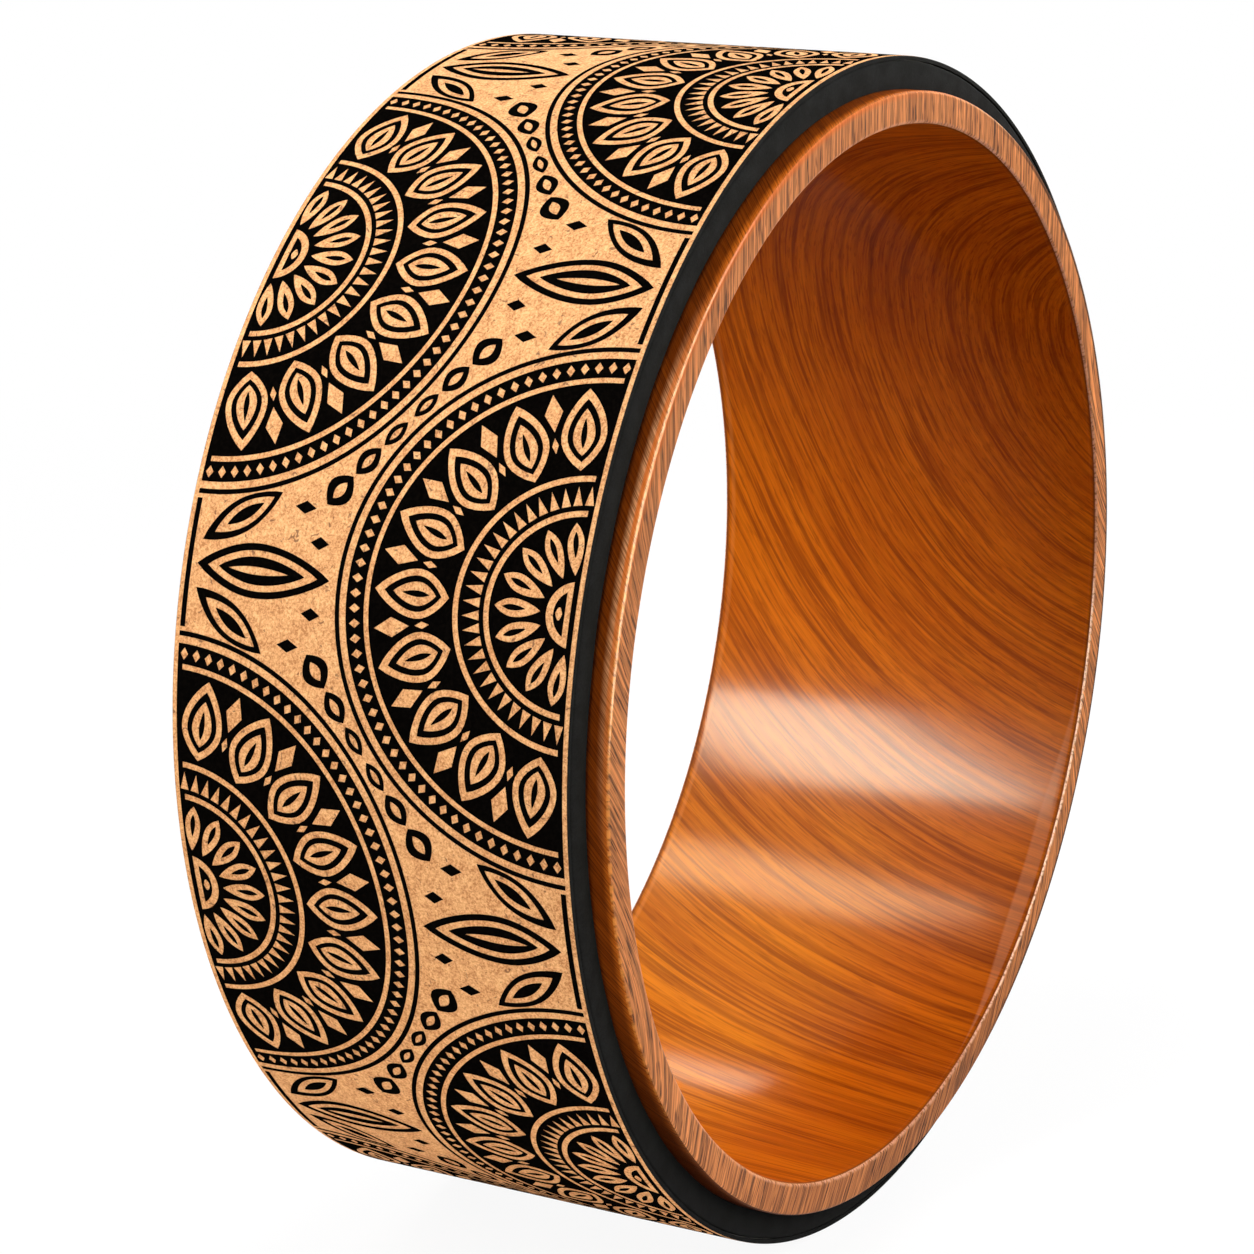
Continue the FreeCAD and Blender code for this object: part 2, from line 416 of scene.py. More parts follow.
lipLook = {
    "shader": {"Roughness": 0.45, "Specular IOR Level": 0.02, "Coat Roughness": 0.2, "Coat IOR": 1.45},
    "slant": math.radians(50.0),  # of the fibres, from straight across
    "grain": {"Drift": 1.0, "Band": 0.3, "Line": 1.0, "Fibre": 3.0, "Pore": 3.0},
    # the dark brown veneer, with the pad's shadow painted in
    "stops": [(0.1, (0.15, 0.026, 0.001)), (0.9, (0.25, 0.05, 0.003))],
    "dark": (0.045, 0.007, 0.001),
    "fibre": 0.6,
    "lines": 0.65,
    "pores": 0.5,
    "padShadowEdge": (62.2, 64.6),  # mm across, where the pad's painted shadow gives way to the lit amber towards the rim
    "sheenFrom": (61.1, 63.1),  # and where the painted reflection pales the lacquer
    "sheen": (-0.15, 0.46, 0.5, 0.88),  # radians up from -X, the stretch with that painted reflection
    "deepAcross": (63.0, 63.6, 64.2, 64.5),  # mm across, a deep line on that stretch
    "deepShare": 0.8,
    "glint": (-0.45, 0.35, 0.55, 1.1),  # radians up from -X, where the corner's glint is painted
    "glintShare": (0.12, 0.55),  # of the full glint, elsewhere and there
    "foot": (0.2, 0.18, 0.16),  # painted shade, darker low down
    "lowShadeFrom": (-23.0, -117.0),  # mm above the axle line
    "plainCoat": 0.03,
    "relief": (0.05, 0.5),
}
# the lip as lit, in amber: painted light beyond the pad's painted shadow
litLipLook = {
    "stops": [(0.1, (0.42, 0.09, 0.005)), (0.9, (0.64, 0.15, 0.01))],
    "dark": (0.12, 0.022, 0.001),
    "fibre": 0.6,
    "lines": 0.75,
    "pores": 0.6,
}
# painted reflection: a pale sheen over the lip on one stretch
sheenLook = {
    "stops": [(0.1, (0.66, 0.27, 0.1)), (0.9, (0.98, 0.47, 0.205))],
    "dark": (0.18, 0.052, 0.015),
    "fibre": 0.6,
    "lines": 0.8,
    "pores": 0.7,
}
cornerLook = {  # where the lip meets the rim
    "deep": (0.74, 0.15, 0.012),
    "paintedGlint": (0.9, 0.36, 0.095),  # painted glint
    "glintDash": (1.0, 0.37, 0.065),  # painted highlight in dashes
}


def cornerGlint(tree, upAngle):
    return spread(tree, between(tree, upAngle, *lipLook["glint"]), 0.0, 1.0, *lipLook["glintShare"])


def makeLipWood():
    look = lipLook
    finish, tree, shader = newFinish("lipLacquer", look["shader"])
    x, y, z, angle = wheelPlaces(tree)
    upAngle = angleUp(tree, x, z)
    aside = calc(tree, "ABSOLUTE", y)
    reach = calc(tree, "SUBTRACT", wheel["rimHalf"], aside)
    arc = times(tree, angle, wheel["lipRadius"])
    lean, straight = math.sin(look["slant"]), math.cos(look["slant"])
    across = calc(tree, "MULTIPLY_ADD", y, lean, times(tree, arc, straight))
    along = calc(tree, "MULTIPLY_ADD", arc, -lean, times(tree, y, straight))
    grain = useGroup(tree, grainGroup, Across=across, Along=along, **look["grain"])
    # painted shadow of the pad, giving way to the lit amber towards the rim
    amber = spread(tree, aside, *look["padShadowEdge"])
    colour = blendColour(tree, amber, grainColour(tree, grain, look), grainColour(tree, grain, litLipLook))
    # painted reflection, a pale sheen on one stretch of the lip
    sheen = between(tree, upAngle, *look["sheen"])
    bright = times(tree, spread(tree, aside, *look["sheenFrom"]), sheen)
    colour = blendColour(tree, bright, colour, grainColour(tree, grain, sheenLook))
    deep = times(tree, between(tree, aside, *look["deepAcross"]), times(tree, sheen, look["deepShare"]))
    colour = paint(tree, deep, colour, cornerLook["deep"])
    shine = useGroup(tree, edgeGroup, Reach=reach, Streaks=grain["Lines"], Plain=look["plainCoat"])
    glint = cornerGlint(tree, upAngle)
    # painted glint on the corner
    colour = paint(tree, times(tree, shine["Edge"], glint), colour, cornerLook["paintedGlint"])
    # painted shade low down
    colour = tint(tree, spread(tree, z, *look["lowShadeFrom"]), colour, look["foot"])
    # painted highlight in dashes along the corner
    dashes = useGroup(tree, dashGroup, Reach=reach, Arc=arc, Up=upAngle)["Dashes"]
    colour = paint(tree, dashes, colour, cornerLook["glintDash"])
    feed(tree, shader.inputs["Coat Weight"], times(tree, shine["Coat"], glint))
    dress(tree, shader, colour, grain["Relief"], look["relief"])
    return finish


rimLook = {
    "shader": {"Roughness": 0.6, "Specular IOR Level": 0.02, "Coat Roughness": 0.14, "Coat IOR": 1.45},
    "sweep": 40.0,  # mm, how far the fibres sway from upright
    "swayRun": 52.0,  # mm of height to a radian of that sway
    "straightFrom": 81.7,  # mm above the axle line, where the fibres are upright
    "grain": {"Drift": 3.0, "Band": 0.2, "Line": 0.3, "Fibre": 1.3, "Pore": 1.5},
    "stops": [(0.1, (0.4, 0.13, 0.038)), (0.9, (0.88, 0.318, 0.102))],
    "dark": (0.1, 0.036, 0.017),
    "fibre": 0.7,
    "lines": 0.72,
    "pores": 0.95,
    "foot": (0.76, 0.73, 0.7),  # painted shade, deeper at the bottom
    "lowShadeFrom": (-95.0, -145.0),  # mm above the axle line
    "amber": (0.1, 0.6, 1.3, 1.9),  # radians up from -X, where the outer corner is amber
    "amberWidth": (0.5, 2.6),  # mm in from that corner
    "amberShare": 0.75,
    "stain": (0.022, 0.007, 0.003),  # the outer corner where no glint is painted
    "stained": (0.85, 1.25),  # radians either side of +X, where the stain gives way
    "stainWidth": (1.6, 2.2),
    "stainShare": 0.9,
    "boreCornerGlint": (0.74, 0.33, 0.17),  # painted highlight on the corner at the bore
    "boreReach": 0.6,  # its painted highlight is broader, so distances from it count for less
    "boreShine": 0.4,  # share of the outer corner's
    "lumps": 0.9,  # that break its painted highlight and its coat, per mm
    "lumpEdge": (0.45, 0.62),
    "plainCoat": 0.12,
    "relief": (0.08, 0.6),
}


def makeRimWood():
    look = rimLook
    finish, tree, shader = newFinish("rimWood", look["shader"])
    x, y, z, angle = wheelPlaces(tree)
    upAngle = angleUp(tree, x, z)
    height = calc(tree, "MINIMUM", z, look["straightFrom"])
    sway = calc(tree, "SINE", calc(tree, "DIVIDE", height, look["swayRun"]))
    across = calc(tree, "MULTIPLY_ADD", sway, look["sweep"], x)
    grain = useGroup(tree, grainGroup, Across=across, Along=z, **look["grain"])
    radius = hypotenuse(tree, x, z)
    fromLip = calc(tree, "SUBTRACT", wheel["lipRadius"], radius)
    fromBore = calc(tree, "SUBTRACT", radius, wheel["boreRadius"])
    outer = useGroup(tree, edgeGroup, Reach=fromLip, Streaks=grain["Lines"], Plain=0.0)
    boreArc = times(tree, angle, wheel["boreRadius"])
    lumps = spread(tree, cloud(tree, vector(tree, boreArc, y), look["lumps"], 1.0), *look["lumpEdge"])
    reach = times(tree, fromBore, look["boreReach"])
    inner = useGroup(tree, edgeGroup, Reach=reach, Streaks=lumps, Plain=look["plainCoat"])
    stained = spread(tree, calc(tree, "ABSOLUTE", angle), *look["stained"], 1.0, 0.0)
    bare = calc(tree, "SUBTRACT", 1.0, stained)
    glint = times(tree, cornerGlint(tree, upAngle), bare)
    # painted shade at the bottom
    colour = tint(tree, spread(tree, z, *look["lowShadeFrom"]), grainColour(tree, grain, look), look["foot"])
    amber = spread(tree, fromLip, *look["amberWidth"], look["amberShare"], 0.0)
    amber = times(tree, amber, between(tree, upAngle, *look["amber"]))
    colour = paint(tree, amber, colour, cornerLook["deep"])
    # painted glint on the outer corner
    colour = paint(tree, times(tree, outer["Edge"], glint), colour, cornerLook["paintedGlint"])
    lipArc = times(tree, angle, wheel["lipRadius"])
    # painted highlight in dashes along the outer corner
    dashes = useGroup(tree, dashGroup, Reach=fromLip, Arc=lipArc, Up=upAngle)["Dashes"]
    colour = paint(tree, dashes, colour, cornerLook["glintDash"])
    stain = times(tree, spread(tree, fromLip, *look["stainWidth"], look["stainShare"], 0.0), stained)
    colour = paint(tree, stain, colour, look["stain"])
    # painted highlight on the corner at the bore
    colour = paint(tree, inner["Edge"], colour, look["boreCornerGlint"])
    outerCoat = calc(tree, "MULTIPLY_ADD", outer["Coat"], glint, times(tree, bare, look["plainCoat"]))
    innerCoat = times(tree, inner["Coat"], look["boreShine"])
    feed(tree, shader.inputs["Coat Weight"], calc(tree, "MAXIMUM", outerCoat, innerCoat))
    dress(tree, shader, colour, grain["Relief"], look["relief"])
    return finish


def speckColour(tree, speck, look):
    patches = times(tree, speck["Patches"], 1.0 - look["fineShare"])
    shade = calc(tree, "MULTIPLY_ADD", speck["Mottle"], look["fineShare"], patches)
    return ramp(tree, shade, look["stops"])


corkLook = {
    "shader": {"Roughness": 0.85, "Specular IOR Level": 0.15},
    "speck": {"Fine": 1500.0, "Coarse": 300.0, "Pit": 520.0},
    "fineShare": 0.75,  # of the fine mottle in the shade, the patches have the rest
    "stops": [(0.12, (0.42, 0.162, 0.05)), (0.5, (0.64, 0.3, 0.112)), (0.9, (0.79, 0.43, 0.182))],
    "pit": (0.16, 0.06, 0.022),
    "pitShare": 0.8,
    "relief": (0.15, 0.5),
}


def makeCork():
    look = corkLook
    finish, tree, shader = newFinish("corkSheet", look["shader"])
    speck = useGroup(tree, speckGroup, **look["speck"])
    pits = times(tree, speck["Pits"], look["pitShare"])
    colour = paint(tree, pits, speckColour(tree, speck, look), look["pit"])
    dress(tree, shader, colour, speck["Relief"], look["relief"])
    return finish


foamLook = {
    "shader": {"Specular IOR Level": 0.01},
    "speck": {"Fine": 1400.0, "Coarse": 180.0, "Pit": 900.0},
    "fineShare": 0.5,
    "stops": [(0.1, (0.0069, 0.0071, 0.0077)), (0.9, (0.0142, 0.0146, 0.0158))],
    "foot": (0.42, 0.42, 0.45),  # painted shade, blacker low down
    "lowShadeFrom": (-40.0, -140.0),  # mm above the axle line
    "roughness": (0.8, 0.95),
    "relief": (0.12, 0.6),
}


def makeFoam():
    look = foamLook
    finish, tree, shader = newFinish("padFoam", look["shader"])
    speck = useGroup(tree, speckGroup, **look["speck"])
    # painted shade low down
    foot = spread(tree, wheelPlaces(tree)[2], *look["lowShadeFrom"])
    colour = tint(tree, foot, speckColour(tree, speck, look), look["foot"])
    feed(tree, shader.inputs["Roughness"], spread(tree, speck["Mottle"], 0.0, 1.0, *look["roughness"]))
    dress(tree, shader, colour, speck["Relief"], look["relief"])
    return finish


inkLook = {
    "shader": {"Roughness": 0.8, "Specular IOR Level": 0.0},
    "speck": {"Fine": 1000.0, "Coarse": 240.0, "Pit": 360.0},
    "stops": [(0.3, (0.0014, 0.0011, 0.0009)), (1.0, (0.003, 0.0023, 0.0018))],
    "relief": (0.12, 0.4),
}
tapeLook = {
    "shader": {"Roughness": 0.45, "Specular IOR Level": 0.4},
    "speck": {"Fine": 500.0, "Coarse": 90.0, "Pit": 700.0},
    "stops": [(0.1, (0.016, 0.016, 0.017)), (0.9, (0.03, 0.03, 0.031))],
    "relief": (0.05, 0.4),
}


def makeFilm(name, look, shade):  # one of the speckle's masks gives the shade
    finish, tree, shader = newFinish(name, look["shader"])
    speck = useGroup(tree, speckGroup, **look["speck"])
    colour = ramp(tree, speck[shade], look["stops"])
    dress(tree, shader, colour, speck["Relief"], look["relief"])
    return finish


plyLook = {
    "shader": {"Roughness": 0.7, "Specular IOR Level": 0.3},
    "grain": {"Drift": 6.0, "Band": 0.12, "Line": 0.3, "Fibre": 1.4, "Pore": 1.8},
    "stops": [(0.1, (0.36, 0.19, 0.085)), (0.9, (0.56, 0.34, 0.17))],
    "relief": (0.08, 0.5),
}


def makePly():
    look = plyLook
    finish, tree, shader = newFinish("plyCore", look["shader"])
    _, y, _, angle = wheelPlaces(tree)
    arc = times(tree, angle, wheel["tongueInner"])
    grain = useGroup(tree, grainGroup, Across=y, Along=arc, **look["grain"])
    colour = ramp(tree, grain["Fibres"], look["stops"])
    dress(tree, shader, colour, grain["Relief"], look["relief"])
    return finish


boreWood = makeBoreWood()
lipWood = makeLipWood()
rimWood = makeRimWood()
corkFinish = makeCork()
foamFinish = makeFoam()
inkFinish = makeFilm("printInk", inkLook, "Mottle")
plyFinish = makePly()
tapeFinish = makeFilm("tapeFilm", tapeLook, "Patches")
veneers = {"inner_veneer": boreWood, "outer_veneer": lipWood}
for name, node in cadNodes.items():
    hiddenFinish = plyFinish if "ply" in name else tapeFinish
    node.data.materials.clear()
    node.data.materials.append(veneers.get(name, hiddenFinish))
print("stage: finishes made")


# lathe work

latheShape = {
    "segments": 720,
    "cornerSteps": 6,
    "ripple": 0.06,  # of an uneven surface, per mm
    "bakeRows": 6,  # strips that the round is laid out in for baking
    "bakeMargin": (0.005, 0.02),  # shares of a strip, along and across it
    "hiddenShare": 0.1,  # of its room that a hidden side takes in a strip
    "capSpot": (0.0025, 0.0025),  # where the ends at a seam bake
    "sharpAngle": math.radians(40.0),
    "noiseSeed": 1,
}
noise.seed_set(latheShape["noiseSeed"])  # unseeded, the noise changes from run to run


def roundCorner(centre, radius, start, steps=latheShape["cornerSteps"]):  # a quarter turn, clockwise
    points = []
    for step in range(steps + 1):
        angle = math.radians(start - 90.0 * step / steps)
        points.append((centre[0] + radius * math.cos(angle), centre[1] + radius * math.sin(angle)))
    return points


def lathe(name, profile, finishes, gap=0.0, wobble=0.0, hiddenRadius=0.0, pick=None):
    # profile: closed loop of (radius, across) in mm; gap: seam width in mm, at +X
    # hiddenRadius: a side that lies within it is hidden
    # pick: tells from the middle of a profile edge which of the finishes it has
    mesh = bmesh.new()
    segments = latheShape["segments"]
    start = gap / 2 / wheel["treadRadius"]
    sweep = fullTurn - 2 * start
    stations = segments + 1 if gap else segments
    columns = []
    for station in range(stations):
        angle = start + sweep * station / segments
        column = []
        for radius, across in profile:
            spot = Vector((math.cos(angle) * radius, across, math.sin(angle) * radius))
            if wobble:
                spot += wobble * noise.noise_vector(spot * latheShape["ripple"])
            column.append(mesh.verts.new(spot * mm))
        columns.append(column)
    lengths, kinds = [0.0], []
    for (r0, y0), (r1, y1) in zip(profile, profile[1:] + profile[:1]):
        room = latheShape["hiddenShare"] if max(r0, r1) < hiddenRadius else 1.0
        lengths.append(lengths[-1] + math.hypot(r1 - r0, y1 - y0) * room)
        kinds.append(pick((r0 + r1) / 2, abs(y0 + y1) / 2) if pick else 0)
    bake = mesh.loops.layers.uv.new("OFBake")
    bakeRows = latheShape["bakeRows"]
    endMargin, sideMargin = latheShape["bakeMargin"]
    perRow = segments / bakeRows
    for station in range(segments):
        left, right = columns[station], columns[(station + 1) % stations]
        row = int(station / perRow)
        u0, u1 = station / perRow - row, (station + 1) / perRow - row
        for index, kind in enumerate(kinds):
            after = (index + 1) % len(profile)
            face = mesh.faces.new((left[index], right[index], right[after], left[after]))
            face.smooth = True
            face.material_index = kind
            v0, v1 = lengths[index] / lengths[-1], lengths[index + 1] / lengths[-1]
            for loop, (u, v) in zip(face.loops, ((u0, v0), (u1, v0), (u1, v1), (u0, v1))):
                along = endMargin + (1 - 2 * endMargin) * u
                upward = sideMargin + (1 - 2 * sideMargin) * v
                loop[bake].uv = (along, (row + upward) / bakeRows)
    if gap:
        for column in (columns[0], columns[-1][::-1]):
            cap = mesh.faces.new(column)
            for loop in cap.loops:
                loop[bake].uv = latheShape["capSpot"]
    bmesh.ops.recalc_face_normals(mesh, faces=mesh.faces)
    data = bpy.data.meshes.new(name)
    mesh.to_mesh(data)
    mesh.free()
    piece = bpy.data.objects.new(name, data)
    bpy.context.scene.collection.objects.link(piece)
    for finish in finishes:
        data.materials.append(finish)
    markEdges(piece)
    return piece


def markEdges(piece):
    mesh = bmesh.new()
    mesh.from_mesh(piece.data)
    for edge in mesh.edges:
        sharp = len(edge.link_faces) == 2 and edge.calc_face_angle(0.0) > latheShape["sharpAngle"]
        edge.smooth = not sharp
    mesh.to_mesh(piece.data)
    mesh.free()


rimShape = {
    "lipRound": 1.1,  # mm
    "boreRound": 1.3,
    "lipShare": 0.35,  # of the round, finished like the side next to it
    "boreShare": 0.12,
}


def makeRim(name, side, node):
    inner, outer = wheel["boreRadius"], wheel["lipRadius"]
    face, back = wheel["rimHalf"], wheel["barrelHalf"]
    boreRound, lipRound = rimShape["boreRound"], rimShape["lipRound"]
    tongueInner, tongueOuter, end = wheel["tongueInner"], wheel["tongueOuter"], wheel["tongueEnd"]
    profile = [(inner, back)]
    profile += roundCorner((inner + boreRound, face - boreRound), boreRound, 180.0)
    profile += roundCorner((outer - lipRound, face - lipRound), lipRound, 90.0)
    profile += [(outer, back), (tongueOuter, back), (tongueOuter, end)]
    profile += [(tongueInner, end), (tongueInner, back)]
    boreEdge = inner + boreRound * rimShape["boreShare"]
    lipEdge = outer - lipRound * rimShape["lipShare"]

    def faceFinish(r, y):  # rim face, bore side or lip side
        return 1 if r < boreEdge else 2 if r > lipEdge else 0

    ring = lathe(name, [(r, side * y) for r, y in profile], [rimWood, boreWood, lipWood], pick=faceFinish)
    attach(ring, "root")
    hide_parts(node)


makeRim("front_rim", -1, "front_rim_ring")
makeRim("rear_rim", 1, "rear_rim_ring")
print("stage: rim rings turned")

foamShape = {  # mm
    "footInsets": (1.4, 1.2, 0.15),  # in from the pad's side: its dip past the tape, heel and toe
    "toeRise": 0.5,
    "edge": 0.9,
    "bulge": 0.25,
    "bulgeRun": 1.5,  # either side of the middle, down to the bulge's share
    "bulgeShare": 0.7,
    "unevenness": 0.12,
    "spanShares": (0.6, 0.2, -0.2, -0.6),  # of the half-width, points across the pad
}


def makeFoamPad():
    low, top, half = wheel["foamSeat"], wheel["foamTop"], wheel["padHalf"]
    lip, middle = wheel["lipRadius"], (low + top) / 2
    dip, heel, toe = foamShape["footInsets"]
    edge, bulge, run = foamShape["edge"], foamShape["bulge"], foamShape["bulgeRun"]
    swell = half + bulge * foamShape["bulgeShare"]
    side = [(low, half - dip), (lip, half - heel), (lip, half - toe), (low + foamShape["toeRise"], half)]
    side += [(middle - run, swell), (middle, half + bulge), (middle + run, swell)]
    side += roundCorner((top - edge, half - edge), edge, 90.0)
    otherSide = [(r, -y) for r, y in side[::-1]]
    span = [half * share for share in foamShape["spanShares"]]
    profile = side + [(top, y) for y in span] + otherSide + [(low, -y) for y in span]
    pad = lathe("foam_wrap", profile, [foamFinish], wheel["seamGap"], foamShape["unevenness"])
    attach(pad, "root")
    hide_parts("foam_pad")


corkShape = {  # mm
    "edge": 0.35,
    "edgeSteps": 4,
    "underEdge": 0.05,
    "sealed": 0.2,  # the cut edge is sealed black, this far in
    "sealedUnder": 0.1,  # and this far up from underneath
    "hidden": 0.5,  # a side lower than this is out of sight
    "inkLift": 0.04,
    "spanShares": (0.66, 0.33, 0.0, -0.33, -0.66),
}


def makeCorkWrap():
    low, half, edge = wheel["corkSeat"], wheel["padHalf"], corkShape["edge"]
    top, under = wheel["treadRadius"] - corkShape["inkLift"], corkShape["underEdge"]
    side = [(low, half - under), (low + under, half)]
    side += roundCorner((top - edge, half - edge), edge, 90.0, corkShape["edgeSteps"])
    otherSide = [(r, -y) for r, y in side[::-1]]
    profile = side + [(top, half * share) for share in corkShape["spanShares"]] + otherSide
    sealed, sealedUnder = half - corkShape["sealed"], low + corkShape["sealedUnder"]

    def faceFinish(r, y):  # black on the cut edge and underneath
        return int(y > sealed or r < sealedUnder)

    finishes, hidden = [corkFinish, foamFinish], low + corkShape["hidden"]
    wrap = lathe("cork_wrap", profile, finishes, wheel["seamGap"], hiddenRadius=hidden, pick=faceFinish)
    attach(wrap, "root")
    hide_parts("cork_cover")


makeFoamPad()
makeCorkWrap()
print("stage: foam and cork wrapped")


# printed band

band = {
    "repeats": 6,
    "half": 57.25,  # mm, printed half-width; bare cork is left beside it
    "cuts": 24,  # strips in half a repeat, so that the film follows the round
    "phase": 11,  # strips by which the band is turned round the wheel
    "arcSteps": 72,
    "plumpness": 0.85,  # of a leaf, plumper below 1
    "weld": 1e-4,  # mm, points nearer than this are joined
    "cutSlack": 1e-5,
}
around = fullTurn * wheel["treadRadius"]
repeat = around / band["repeats"]
strip = repeat / 2 / band["cuts"]
upright = math.pi / 2


def fanPoint(reach, angle, aside=0.0):
    cos, sin = math.cos(angle), math.sin(angle)
    return reach * cos - aside * sin, reach * sin + aside * cos


def halfRing(inner, outer, base):
    loop, steps = [], band["arcSteps"]
    first = math.asin(min(1.0, base / outer))
    for step in range(steps + 1):
        loop.append(fanPoint(outer, first + (math.pi - 2 * first) * step / steps))
    if inner > base:
        first = math.asin(base / inner)
        for step in range(steps + 1):
            loop.append(fanPoint(inner, math.pi - first - (math.pi - 2 * first) * step / steps))
    return loop


def leaf(start, end, width, angle, belly=0.45, steps=12, origin=(0.0, 0.0)):
    # pointed at both ends, widest at belly
    sides = []
    for step in range(1, steps):
        t = step / steps
        swell = (t / belly) if t < belly else ((1 - t) / (1 - belly))
        swell = math.sin(swell * upright) ** band["plumpness"]
        sides.append((start + (end - start) * t, width * swell))
    loop = [(start, 0.0)] + sides + [(end, 0.0)] + [(r, -w) for r, w in sides[::-1]]
    return [(origin[0] + p[0], origin[1] + p[1]) for p in (fanPoint(r, angle, w) for r, w in loop)]


def tooth(start, end, width, angle):
    return [fanPoint(start, angle, width), fanPoint(end, angle), fanPoint(start, angle, -width)]


def kite(start, end, width, angle, origin=(0.0, 0.0)):
    return leaf(start, end, width, angle, 0.5, 2, origin)


def sectors(count):  # the middle angles of equal sectors of a fan
    return [math.pi * (k + 0.5) / count for k in range(count)]


fan = {  # mm; leaves, teeth, kites and beads by start, end and half-width
    "base": 1.5,  # solid line along each edge
    "ground": 65.5,
    "outline": (67.4, 68.7),
    "hearts": ((8.2, 1.5), (6.2, 3.0)),  # radius, line under it
    "seed": (3.7, 5.6, 1.6),
    "petals": 9,
    "petal": ((9.8, 22.8, 2.3), (14.0, 20.6, 0.75)),
    "petalBelly": 0.6,
    "rings": ((24.2, 25.7), (33.0, 34.5), (58.8, 60.2)),
    "teeth": 27,
    "tooth": (27.0, 31.8, 1.25),
    "leaf": ((35.8, 57.4, 6.2), (38.0, 54.6, 4.5), (39.6, 52.0, 3.0), (41.5, 49.5, 0.8)),
    "leafBelly": 0.42,
    "kites": ((47.0, 57.2, 2.5), (41.2, 45.4, 0.9)),
    "beads": 52,
    "bead": (61.3, 64.5, 1.15),
}


def fanLoops():
    petals = fan["petals"]
    innerRing, middleRing, outerRing = (halfRing(*radii, fan["base"]) for radii in fan["rings"])
    loops = [halfRing(0.0, fan["ground"], 0.0), halfRing(*fan["outline"], 0.0)]
    loops += [halfRing(0.0, radius, base) for radius, base in fan["hearts"]]
    loops.append(leaf(*fan["seed"], upright))
    for angle in sectors(petals):
        loops += [leaf(*size, angle, fan["petalBelly"]) for size in fan["petal"]]
    loops.append(innerRing)
    loops += [tooth(*fan["tooth"], angle) for angle in sectors(fan["teeth"])]
    loops.append(middleRing)
    for angle in sectors(petals):
        loops += [leaf(*size, angle, fan["leafBelly"]) for size in fan["leaf"]]
    for k in range(1, petals):
        loops += [kite(*size, math.pi * k / petals) for size in fan["kites"]]
    loops.append(outerRing)
    loops += [kite(*fan["bead"], angle) for angle in sectors(fan["beads"])]
    return loops


palmette = {  # mm; stem and fronds by start, end and half-width
    "bar": (16.6, 1.5),  # half-length, height
    "stem": ((3.2, 43.5, 7.0), (6.6, 39.8, 5.2), (9.8, 36.0, 3.6), (13.0, 31.0, 1.0)),
    "stemForm": (0.45, 18),  # belly, steps
    "frond": ((4.6, 30.5, 4.4), (8.6, 27.8, 3.0), (12.6, 24.6, 1.5)),
    "frondForm": (0.5, 14),
    "frondLean": math.radians(34.0),
    "frondFoot": 3.6,
    "beads": ((5.2, 4.2, 2.1), (15.0, 4.6, 3.0), (25.4, 4.9, 4.0)),  # place, half-length, half-width
    "beadForm": (0.5, 10),
    "eyeShares": (0.55, 0.36),  # of a bead's length and width
    "kites": ((2.8, 1.7, 9.0, 39.0), (3.2, 1.7, 17.6, 33.0)),  # half-length, half-width, aside, up
}


def palmetteLoops():
    # in the space between one fan above and two beside, with an arm midway between each two
    half, barLength, barHeight = band["half"], *palmette["bar"]
    eyeLength, eyeWidth = palmette["eyeShares"]
    beadForm = palmette["beadForm"]
    root = Vector((0.0, half - repeat / 4 * (repeat / 2) / (2 * half)))
    loops = [[(-barLength, 0.0), (barLength, 0.0), (barLength, barHeight), (-barLength, barHeight)]]
    loops += [leaf(*size, upright, *palmette["stemForm"]) for size in palmette["stem"]]
    for hand in (-1, 1):
        lean, foot = upright - hand * palmette["frondLean"], (hand * palmette["frondFoot"], 0.0)
        for size in palmette["frond"]:
            loops.append(leaf(*size, lean, *palmette["frondForm"], foot))
        tip = Vector((hand * repeat / 4, half))
        arm = tip - root
        arm.normalize()
        slope = math.atan2(arm.y, arm.x)
        for back, length, width in palmette["beads"]:
            spot, eye = tip - arm * back, length * eyeLength
            loops.append(leaf(-length, length, width, slope, *beadForm, spot))
            loops.append(leaf(-eye, eye, width * eyeWidth, slope, *beadForm, spot))
        for length, width, aside, up in palmette["kites"]:
            loops.append(kite(-length, length, width, upright, (hand * aside, up)))
    return loops


def fillLoops(name, loops):
    curve = bpy.data.curves.new(name, "CURVE")
    curve.dimensions = "2D"
    curve.fill_mode = "BOTH"
    for loop in loops:
        spline = curve.splines.new("POLY")
        spline.points.add(len(loop) - 1)
        for point, (x, y) in zip(spline.points, loop):
            point.co = (x, y, 0.0, 1.0)
        spline.use_cyclic_u = True
    shape = bpy.data.objects.new(name, curve)
    bpy.context.scene.collection.objects.link(shape)
    bpy.context.view_layer.update()
    filled = bpy.data.meshes.new_from_object(shape.evaluated_get(bpy.context.evaluated_depsgraph_get()))
    sheet = bmesh.new()
    sheet.from_mesh(filled)
    bpy.data.objects.remove(shape)
    bpy.data.curves.remove(curve)
    bpy.data.meshes.remove(filled)
    bmesh.ops.remove_doubles(sheet, verts=sheet.verts, dist=band["weld"])
    reach = max(abs(v.co.x) for v in sheet.verts)
    count, slack = int(reach / strip) + 1, band["cutSlack"]
    for k in range(-count, count + 1):
        parts = sheet.verts[:] + sheet.edges[:] + sheet.faces[:]
        place = (k * strip, 0, 0)
        bmesh.ops.bisect_plane(sheet, geom=parts, dist=slack, plane_co=place, plane_no=(1, 0, 0))
    bmesh.ops.triangulate(sheet, faces=sheet.faces)
    points = [(v.co.x, v.co.y) for v in sheet.verts]
    faces = [[v.index for v in f.verts] for f in sheet.faces]
    inked = sum(f.calc_area() for f in sheet.faces)
    sheet.free()
    print("stage: print motif", name, len(loops), "loops,", len(faces), "faces, ink", round(inked), "mm2")
    return points, faces


